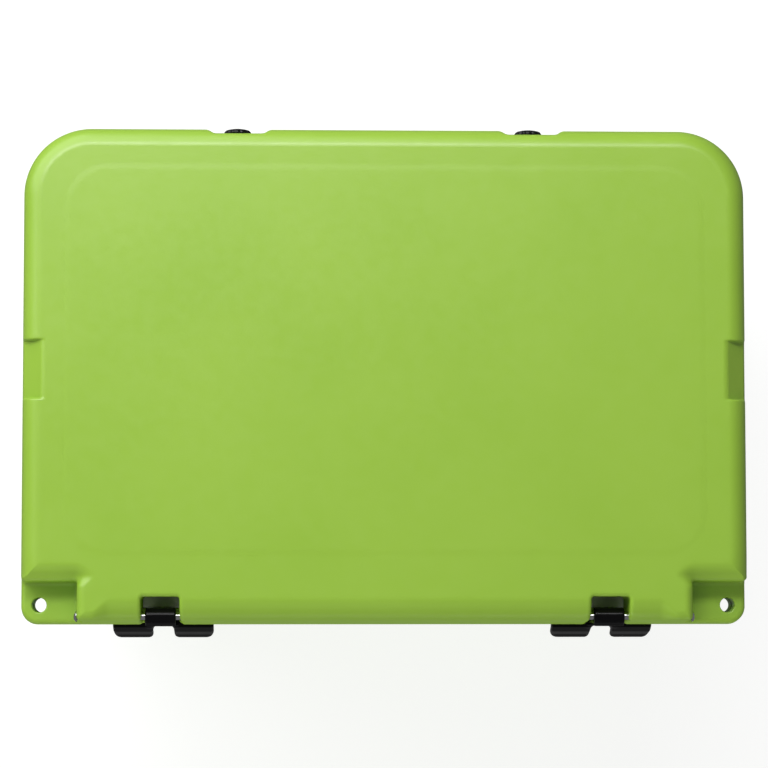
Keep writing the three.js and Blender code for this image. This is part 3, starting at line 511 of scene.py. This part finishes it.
def net_knob_screw(s, centre_z, face_y):
    """A domed head with a cross in it, sunk in the knob's bore."""
    tip = face_y + KNOB_LENGTH

    def field(x, y, z):
        from_axis = np.hypot(x - s * KNOB_X, z - centre_z)
        head = both(np.hypot(from_axis, y - tip + 8) - 7.4, span(y, tip - 2.7, tip - 0.6), 0.3)
        head = both(head, from_axis - 4, 0.4)
        cross = np.minimum(strip(x, s * KNOB_X, 0.5), strip(z, centre_z, 0.5))
        head = cut(head, both(both(cross, from_axis - 2.6), tip - 1.8 - y), 0.2)
        return np.minimum(head, both(from_axis - 2, span(y, face_y - 20, tip - 2), 0.4))
    return field


def foot(at_x, at_y):
    """A round pad with rings of tread round the hole for its screw."""
    def field(x, y, z):
        from_axis = np.hypot(x - at_x, y - at_y)
        side = from_axis - FOOT_R + FOOT_TAPER * (1 - z / FOOT_HEIGHT)
        form = both(side * FOOT_SIDE_COSINE, span(z, 0, FOOT_HEIGHT), 1.2)
        groove = both(strip(from_axis % FOOT_GROOVE_PITCH, FOOT_GROOVE_PITCH / 2, 0.7), z - 0.8)
        form = cut(form, both(groove, span(from_axis, 8.5, 20)), 0.3)
        return cut(cut(form, both(from_axis - FOOT_BORE_R, z - 4.3), 0.6), from_axis - 2.8, 0.3)
    return field


def foot_screw(at_x, at_y):
    def field(x, y, z):
        from_axis = np.hypot(x - at_x, y - at_y)
        head = both(from_axis - 6, span(z, 1.8, 4), 0.7)
        cross = np.minimum(strip(x, at_x, 0.6), strip(y, at_y, 0.6))
        head = cut(head, both(both(cross, from_axis - 3.4), z - 3), 0.2)
        return np.minimum(head, both(from_axis - 2.5, span(z, 3, 20), 0.4))
    return field


# ---------------------------------------------------------------- surfaces of fields
BLOCK = 4
BLOCKS_AT_ONCE = 8000


def sampled(field, axes, step):
    """The field on a grid, worked out only in blocks of BLOCK points a side that are near the surface."""
    middles = [a.reshape(-1, BLOCK).mean(1) for a in axes]
    coarse = field(*np.meshgrid(*middles, indexing="ij", sparse=True))
    reach = step * (BLOCK * math.sqrt(3) / 2 + 2)
    values = coarse
    for axis in range(3):
        values = values.repeat(BLOCK, axis)
    blocks = np.argwhere(np.abs(coarse) < reach)
    inner = np.stack(np.meshgrid(*[np.arange(BLOCK)] * 3, indexing="ij"), -1).reshape(-1, 3)
    for some in np.array_split(blocks, 1 + len(blocks) // BLOCKS_AT_ONCE):
        at = (some[:, None] * BLOCK + inner).reshape(-1, 3).T
        values[tuple(at)] = field(*[a[i] for a, i in zip(axes, at)])
    return values


def surface_net(field, low, high, step):
    """Points and four-sided faces round the inside of a field, from one point in each cell that its surface
    passes through."""
    axes = []
    for a, b in zip(low, high):
        count = math.ceil((b - a + 4 * step) / step / BLOCK) * BLOCK
        axes.append(a - 2 * step + step * np.arange(count))
    values = sampled(field, axes, step)
    inside = values < 0
    cells = tuple(n - 1 for n in inside.shape)
    mixed = np.zeros(cells, bool)
    for offset in itertools.product((0, 1), repeat=3):
        part = tuple(slice(o, o + n) for o, n in zip(offset, cells))
        mixed |= inside[part] != inside[tuple(slice(n) for n in cells)]
    at = np.argwhere(mixed)
    number = np.full(cells, -1)
    number[mixed] = np.arange(len(at))
    total = np.zeros((len(at), 3))
    crossings = np.zeros((len(at), 1))
    faces = []
    for axis in range(3):
        unit = np.eye(3, dtype=int)[axis]
        side_a, side_b = np.eye(3, dtype=int)[[(axis + 1) % 3, (axis + 2) % 3]]
        for i, j in itertools.product((0, 1), repeat=2):
            start = at + i * side_a + j * side_b
            here = values[tuple(start.T)][:, None]
            there = values[tuple((start + unit).T)][:, None]
            crossed = (here < 0) != (there < 0)
            t = here / np.where(crossed, here - there, 1)
            total += crossed * (start - at + t * unit)
            crossings += crossed
        lower = inside.take(range(cells[axis]), axis)
        edges = np.argwhere(lower != inside.take(range(1, cells[axis] + 1), axis))
        ring = [edges, edges - side_a, edges - side_a - side_b, edges - side_b]
        quads = np.stack([number[tuple(r.T)] for r in ring], 1)
        outward = lower[tuple(edges.T)]
        faces.append(np.where(outward[:, None], quads, quads[:, ::-1]))
    corner = np.array([a[0] for a in axes])
    return corner + step * (at + total / crossings), np.concatenate(faces)


PROBE = 0.05
LEAST_SLOPE_SQUARED = 0.05


def settled(field, points, rounds=3):
    """The points moved onto the field's surface, and its normals there."""
    reach = PROBE * np.eye(3)
    for _ in range(rounds):
        value = field(*points.T)
        away = np.stack([field(*(points + d).T) - value for d in reach], 1) / PROBE
        points = points - away * (value / np.maximum((away**2).sum(1), LEAST_SLOPE_SQUARED))[:, None]
    normals = np.stack([field(*(points + d).T) - field(*(points - d).T) for d in reach], 1)
    return points, normals / np.maximum(np.linalg.norm(normals, axis=1), 1e-6)[:, None]


SHARP_TURN = math.radians(14)
SHORTEST_SPLIT = 0.7
# How a triangle is cut whose first so many edges are halved. Its corners are 0 to 2, and 3 to 5 are the
# middles of its edges 0-1, 1-2 and 2-0.
CUTS = {
    0: [(0, 1, 2)],
    1: [(0, 3, 2), (3, 1, 2)],
    2: [(0, 3, 4), (3, 1, 4), (0, 4, 2)],
    3: [(0, 3, 5), (3, 1, 4), (5, 4, 2), (3, 4, 5)],
}


def refined(field, points, triangles):
    """The mesh with every edge halved along which the surface turns sharply."""
    points, normals = settled(field, points, 1)
    sides = np.sort(triangles[:, [[0, 1], [1, 2], [2, 0]]], 2).reshape(-1, 2)
    edges, edge_of = np.unique(sides, axis=0, return_inverse=True)
    start, end = edges.T
    turns = (normals[start] * normals[end]).sum(1) < math.cos(SHARP_TURN)
    halved = turns & (np.linalg.norm(points[start] - points[end], axis=1) > SHORTEST_SPLIT)
    middles = np.full(len(edges), -1)
    middles[halved] = len(points) + np.arange(halved.sum())
    points = np.concatenate([points, points[edges[halved]].mean(1)])
    middles = middles[edge_of.reshape(-1, 3)]
    is_halved = middles >= 0
    count = is_halved.sum(1)
    shift = np.where(count == 2, is_halved.argmin(1) + 1, is_halved.argmax(1))
    order = (shift[:, None] + np.arange(3)) % 3
    corners = np.concatenate([np.take_along_axis(a, order, 1) for a in (triangles, middles)], 1)
    return points, np.concatenate([corners[count == n][:, CUTS[n]].reshape(-1, 3) for n in CUTS])


def read(mesh):
    """A mesh's points and its triangles."""
    points = np.empty(len(mesh.vertices) * 3)
    mesh.vertices.foreach_get("co", points)
    corners = np.empty(len(mesh.loops), int)
    mesh.loops.foreach_get("vertex_index", corners)
    return points.reshape(-1, 3), corners.reshape(-1, 3)


def decimated(points, faces, kept):
    """Points and triangles of a mesh that keeps only so large a share of its faces, most of them where it
    curves."""
    mesh = bpy.data.meshes.new("full")
    mesh.from_pydata(points, [], faces.tolist())
    holder = bpy.data.objects.new("full", mesh)
    bpy.context.scene.collection.objects.link(holder)
    modifier = holder.modifiers.new("fewer faces", "DECIMATE")
    modifier.ratio = kept
    modifier.use_collapse_triangulate = True
    lighter = bpy.data.meshes.new_from_object(holder.evaluated_get(bpy.context.evaluated_depsgraph_get()))
    bpy.data.objects.remove(holder)
    bpy.data.meshes.remove(mesh)
    result = read(lighter)
    bpy.data.meshes.remove(lighter)
    return result


def mesh_of(name, field, low, high, step, kept, rounds):
    """A closed mesh of a field. It keeps only a share of the net's faces, and is then refined so many times
    where it turns sharply."""
    points, triangles = decimated(*surface_net(field, low, high, step), kept)
    for _ in range(rounds):
        points, triangles = refined(field, points, triangles)
    points, normals = settled(field, points)
    mesh = bpy.data.meshes.new(name)
    mesh.from_pydata(points / 1000, [], triangles.tolist())
    mesh.polygons.foreach_set("use_smooth", np.ones(len(mesh.polygons), bool))
    mesh.update()
    mesh.normals_split_custom_set_from_vertices(normals)
    return mesh


def build(node, field, step, kept, material, body, rounds=0):
    """The piece that stands for a CAD node: the surface of field within the node's box, from a net whose
    cells are step millimetres wide."""
    low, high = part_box(node)
    mesh = mesh_of(node, field, np.array(low) * 1000, np.array(high) * 1000, step, kept, rounds)
    obj = bpy.data.objects.new(f"{node}_skin", mesh)
    bpy.context.scene.collection.objects.link(obj)
    obj.data.materials.append(material)
    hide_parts(node)
    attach(obj, body)


# ---------------------------------------------------------------- materials
HAND = 0.11
BROAD_GRAIN = 9  # times the fine grain's size


def material(name, slot, colours, roughness, grain, depth, shine=0.5, metallic=0.0, stretch=(1, 1, 1),
             speckle=0.0):
    """A material whose colour drifts between two colours over a hand's breadth, or from grain to grain where
    it has a speckle, and whose roughness drifts between two values. Its grain is of that size and depth in
    metres, and stretch draws the grain out. Its shine dies away where it is seen along the surface, as on a
    fine-grained moulding."""
    made = bpy.data.materials.new(name)
    made.use_nodes = True
    nodes, links = made.node_tree.nodes, made.node_tree.links
    shader = nodes["Principled BSDF"]
    shader.inputs["Metallic"].default_value = metallic
    place = nodes.new("ShaderNodeTexCoord").outputs["Object"]

    def noise(size, detail, at=place):
        node = nodes.new("ShaderNodeTexNoise")
        node.inputs["Scale"].default_value = 1 / size
        node.inputs["Detail"].default_value = detail
        links.new(at, node.inputs["Vector"])
        return node.outputs["Fac"]

    def spread(value, low, high, to_low, to_high):
        node = nodes.new("ShaderNodeMapRange")
        for key, number in zip(("From Min", "From Max", "To Min", "To Max"), (low, high, to_low, to_high)):
            node.inputs[key].default_value = number
        links.new(value, node.inputs["Value"])
        return node.outputs["Result"]

    stretched = nodes.new("ShaderNodeMapping")
    stretched.inputs["Scale"].default_value = stretch
    links.new(place, stretched.inputs["Vector"])
    fine = noise(grain, 3, stretched.outputs["Vector"])
    broad = noise(grain * BROAD_GRAIN, 2, stretched.outputs["Vector"])
    drift = noise(HAND, 3)

    blend = nodes.new("ShaderNodeMix")
    blend.data_type = "RGBA"
    for key, colour in zip("AB", colours):
        blend.inputs[key].default_value = (*colour, 1)
    amount = spread(drift, 0.3, 0.7, 0, 1)
    if speckle:
        amount = spread(fine, 0.5 - speckle, 0.5 + speckle, 0, 1)
    links.new(amount, blend.inputs["Factor"])
    links.new(blend.outputs["Result"], shader.inputs["Base Color"])
    links.new(spread(broad, 0.3, 0.7, *roughness), shader.inputs["Roughness"])
    facing = nodes.new("ShaderNodeLayerWeight").outputs["Facing"]
    shader.inputs["Specular IOR Level"].default_value = shine
    links.new(spread(facing, 0.7, 0.95, shine, 0), shader.inputs["Specular IOR Level"])

    below = None
    for height, distance in ((broad, depth * 3), (fine, depth)):
        bump = nodes.new("ShaderNodeBump")
        bump.inputs["Distance"].default_value = distance
        links.new(height, bump.inputs["Height"])
        if below:
            links.new(below, bump.inputs["Normal"])
        below = bump.outputs["Normal"]
    links.new(below, shader.inputs["Normal"])
    return made


LIME = material(
    "lime", "lime_plastic", [(0.315, 0.545, 0.046), (0.335, 0.565, 0.054)],
    roughness=(0.3, 0.36), grain=0.0011, depth=0.00002, shine=0.7)
WHITE = material(
    "white", "white_plastic", [(0.78, 0.79, 0.76), (0.82, 0.83, 0.8)],
    roughness=(0.4, 0.5), grain=0.0012, depth=0.00002)
FOAM = material(
    "foam", "insulation_foam", [(0.78, 0.68, 0.42), (0.68, 0.57, 0.32)],
    roughness=(0.85, 0.95), grain=0.0022, depth=0.0004, speckle=0.15)
RUBBER = material(
    "rubber", "black_rubber", [(0.002, 0.002, 0.0022), (0.0045, 0.0045, 0.005)],
    roughness=(0.15, 0.22), grain=0.0009, depth=0.00002, shine=0.13)
BLACK = material(
    "black", "black_plastic", [(0.003, 0.003, 0.0034), (0.005, 0.005, 0.0055)],
    roughness=(0.05, 0.09), grain=0.0016, depth=0.000006, shine=0.26)
STEEL = material(
    "steel", "stainless_steel", [(0.60, 0.61, 0.62), (0.68, 0.68, 0.68)],
    roughness=(0.08, 0.16), grain=0.0005, depth=0.000004, metallic=1.0, stretch=(0.08, 1, 1))

# ---------------------------------------------------------------- the object
FINE = 1.0

# Each line gives the node, its field, the net's step, the share of faces kept, the material and the body. The
# steps of the shells and liners are small enough for no cell to hold both faces of a wall.
build("lid_shell", lid_shell, 2, 0.12, LIME, "lid", rounds=3)
build("lid_liner", lid_liner, 1.75, 0.12, WHITE, "lid", rounds=2)
build("lid_gasket", lid_gasket, 1.6 * FINE, 0.5, RUBBER, "lid")
build("body_shell", body_shell, 2.5, 0.1, LIME, "chest", rounds=3)
build("body_liner", body_liner, 2, 0.07, WHITE, "chest", rounds=2)
build("drain_fitting", drain_fitting, 0.8 * FINE, 0.5, BLACK, "chest")
build("drain_lock_nut", drain_lock_nut, 0.7 * FINE, 0.5, BLACK, "chest")
build("drain_plug_seal", drain_plug_seal, 0.6 * FINE, 0.5, RUBBER, "drain_seal")
build("drain_plug", drain_plug, 0.6 * FINE, 0.5, BLACK, "drain_plug")

for side, s in SIDES.items():
    build(f"latch_{side}", latch(s), 1 * FINE, 0.7, RUBBER, f"latch_{side}")
    build(f"latch_pin_{side}", latch_pin(s), 0.7 * FINE, 0.5, STEEL, "lid")
    build(f"hinge_rod_plug_{side}", hinge_rod_plug(s), 0.8 * FINE, 0.7, BLACK, "lid")
    build(f"handle_bail_{side}", bail(s), 1 * FINE, 0.6, STEEL, f"handle_{side}")
    build(f"handle_grip_{side}", grip(s), 0.8 * FINE, 0.7, RUBBER, f"handle_{side}")
    for end, sign in (("front", -1), ("rear", 1)):
        build(f"handle_bush_{end}_{side}", handle_bush(s, sign), 0.7 * FINE, 0.6, BLACK, "chest")
        at = (s * FOOT_X, FOOT_FRONT if end == "front" else FOOT_REAR)
        build(f"foot_{end}_{side}", foot(*at), 0.8 * FINE, 0.7, RUBBER, "chest")
        build(f"foot_screw_{end}_{side}", foot_screw(*at), 0.5 * FINE, 0.7, STEEL, "chest")
    for level, z, face in (("upper", KNOB_UPPER_Z, RIM_REAR), ("lower", KNOB_LOWER_Z, LOWER_PAD_Y)):
        build(f"net_knob_{level}_{side}", net_knob(s, z, face), 0.6 * FINE, 0.8, BLACK, "chest")
        build(f"net_knob_screw_{level}_{side}", net_knob_screw(s, z, face), 0.45 * FINE, 0.7, STEEL, "chest")

CARRIED_OVER = {
    "body_foam": FOAM, "lid_foam": FOAM, "base_foam_plug": BLACK, "lid_foam_plug_left": WHITE,
    "lid_foam_plug_right": WHITE, "hinge_rod": STEEL, "drain_gasket": RUBBER,
}
for node, look in CARRIED_OVER.items():
    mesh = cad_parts[node].data
    mesh.materials.clear()
    mesh.materials.append(look)

# ---------------------------------------------------------------- floor and light
# The floor takes the chest's shadow but throws no light back at it.
FLOOR_HALF, FLOOR_Z = 30, -0.0005
FLOOR_GREY, FLOOR_GLOW, SKY = 0.3, 0.82, 0.18
LID_MIDDLE = Vector((0, 0, 0.4))

floor_mesh = bpy.data.meshes.new("floor")
floor_corners = [(x * FLOOR_HALF, y * FLOOR_HALF, FLOOR_Z) for x, y in ((-1, -1), (1, -1), (1, 1), (-1, 1))]
floor_mesh.from_pydata(floor_corners, [], [(0, 1, 2, 3)])
floor = bpy.data.objects.new("floor", floor_mesh)
bpy.context.scene.collection.objects.link(floor)
paper = bpy.data.materials.new("paper")
paper.use_nodes = True
paper_shader = paper.node_tree.nodes["Principled BSDF"]
paper_shader.inputs["Base Color"].default_value = (FLOOR_GREY, FLOOR_GREY, FLOOR_GREY, 1)
paper_shader.inputs["Roughness"].default_value = 0.9
paper_shader.inputs["Emission Color"].default_value = (1, 1, 1, 1)
paper_shader.inputs["Emission Strength"].default_value = FLOOR_GLOW
floor_mesh.materials.append(paper)
floor.visible_diffuse = False
floor.visible_glossy = False
floor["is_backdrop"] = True

world = bpy.data.worlds.new("world")
world.use_nodes = True
world.node_tree.nodes["Background"].inputs["Color"].default_value = (1, 1, 1, 1)
world.node_tree.nodes["Background"].inputs["Strength"].default_value = SKY
bpy.context.scene.world = world
bpy.context.scene.view_settings.view_transform = "Standard"


def soft_light(name, azimuth, zenith, distance, width, height, watts, in_gloss=True):
    """A panel that looks at the lid from an azimuth, 0 at the right and 90 at the rear, and an angle off the
    vertical. Unless it is in gloss, no reflection shows it."""
    data = bpy.data.lights.new(name, "AREA")
    data.shape = "RECTANGLE"
    data.size = width
    data.size_y = height
    data.energy = watts
    light = bpy.data.objects.new(name, data)
    azimuth, zenith = math.radians(azimuth), math.radians(zenith)
    flat = math.sin(zenith)
    towards = Vector((flat * math.cos(azimuth), flat * math.sin(azimuth), math.cos(zenith)))
    light.location = LID_MIDDLE + distance * towards
    light.rotation_mode = "QUATERNION"
    light.rotation_quaternion = towards.to_track_quat("Z", "Y")
    light.visible_camera = False
    light.visible_glossy = in_gloss
    bpy.context.scene.collection.objects.link(light)
    light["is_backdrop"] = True


soft_light("rear_panel", 129, 58, 2.7, 3.6, 2.6, 67)
soft_light("rear_strip", 104, 28, 2.7, 2.0, 0.5, 32)
soft_light("front_fill", 255, 45, 3.0, 2.2, 1.6, 13, in_gloss=False)
soft_light("front_low", 262, 98, 2.0, 2.4, 0.4, 19, in_gloss=False)

boxes = [[list(corner) for corner in box] for box in (BOX_AT_START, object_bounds())]
